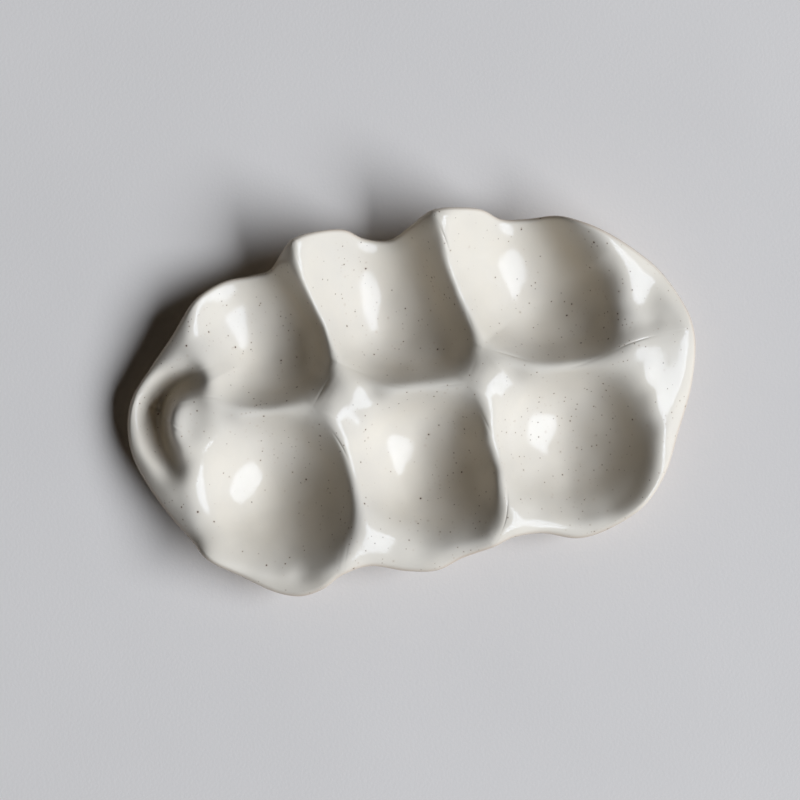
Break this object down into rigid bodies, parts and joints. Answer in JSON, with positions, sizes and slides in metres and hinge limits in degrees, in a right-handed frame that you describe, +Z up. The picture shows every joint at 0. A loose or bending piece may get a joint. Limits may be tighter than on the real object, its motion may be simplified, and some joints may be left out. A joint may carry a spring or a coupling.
{
  "type": "egg tray",
  "caption": "Hand-built glazed stoneware egg tray with two rows of round hollows, soft ridges between them and a waving rim.",
  "frame": {"origin": "middle of the tray's box in plan, on the plane that its feet stand on", "axes": "+X along the rows of three, +Y from the front row to the back row, +Z up out of the hollows"},
  "size_m": [0.2064, 0.1262, 0.0342],
  "materials": {
    "glaze": "glossy warm white glaze with fine brown iron specks over stoneware"
  },
  "bodies": {
    "root": {"cup_back_left": "glaze", "cup_back_middle": "glaze", "cup_back_right": "glaze", "cup_front_left": "glaze", "cup_front_middle": "glaze", "cup_front_right": "glaze"}
  },
  "joints": []
}
